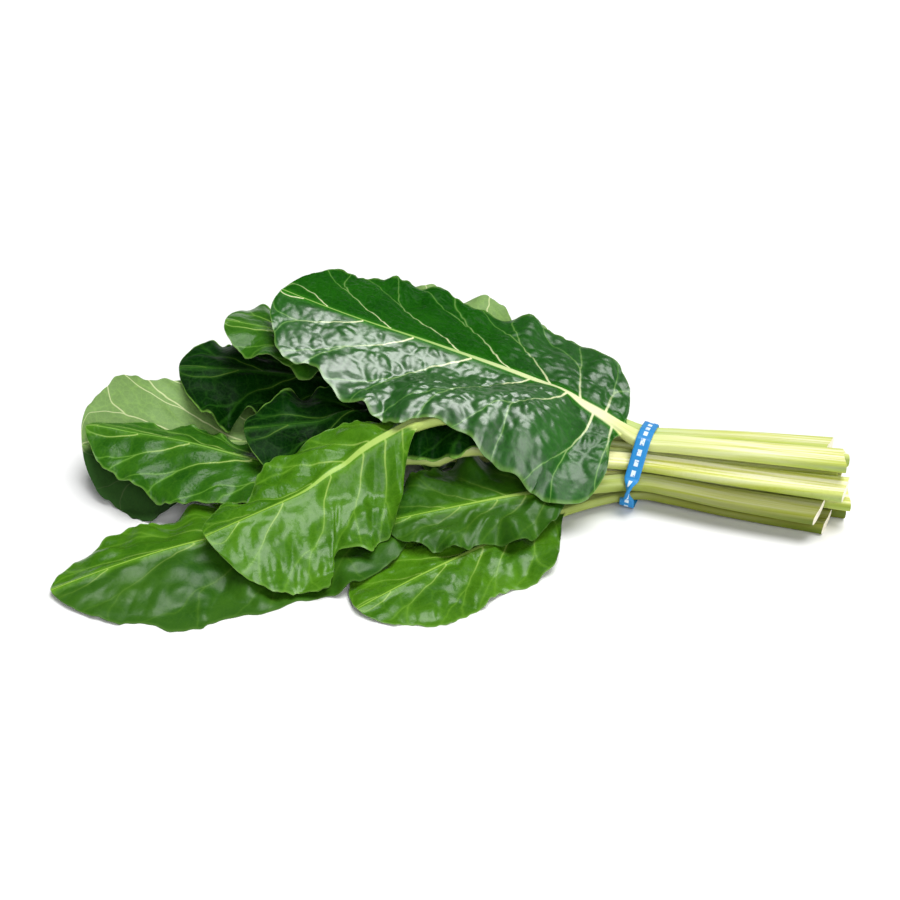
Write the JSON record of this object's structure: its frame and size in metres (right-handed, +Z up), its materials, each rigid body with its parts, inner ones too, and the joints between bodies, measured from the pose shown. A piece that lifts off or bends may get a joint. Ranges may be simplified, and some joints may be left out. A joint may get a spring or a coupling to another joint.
{
  "type": "chard bunch",
  "caption": "Bunch of chard lying on its side: broad waved green leaves on pale stalks, held by one blue rubber band near the cut ends.",
  "frame": {"origin": "middle of the bounding box, on the surface the bunch lies on", "axes": "+X along the stalks towards their cut ends, -Y the front of the bunch, +Z up"},
  "size_m": [0.5002, 0.2924, 0.1064],
  "materials": {
    "dark_leaf": "waxy satin leaf on a pale stalk",
    "light_leaf": "waxy satin leaf on a pale stalk",
    "pale_leaf": "matt leaf underside on a pale stalk",
    "rubber_band": "matt, printed with white dashes"
  },
  "bodies": {
    "root": {"leaf_01_front_low": "light_leaf", "leaf_02_front_long": "light_leaf", "leaf_03_back_low": "dark_leaf", "leaf_04_front_small": "light_leaf", "leaf_05_left_raised": "pale_leaf", "leaf_06_left": "dark_leaf", "leaf_07_back_dark": "dark_leaf", "leaf_08_inner_dark": "dark_leaf", "leaf_09_front_light": "light_leaf", "leaf_10_back_left": "dark_leaf", "leaf_11_back_top": "pale_leaf", "leaf_12_top": "dark_leaf", "rubber_band": "rubber_band"}
  },
  "joints": []
}
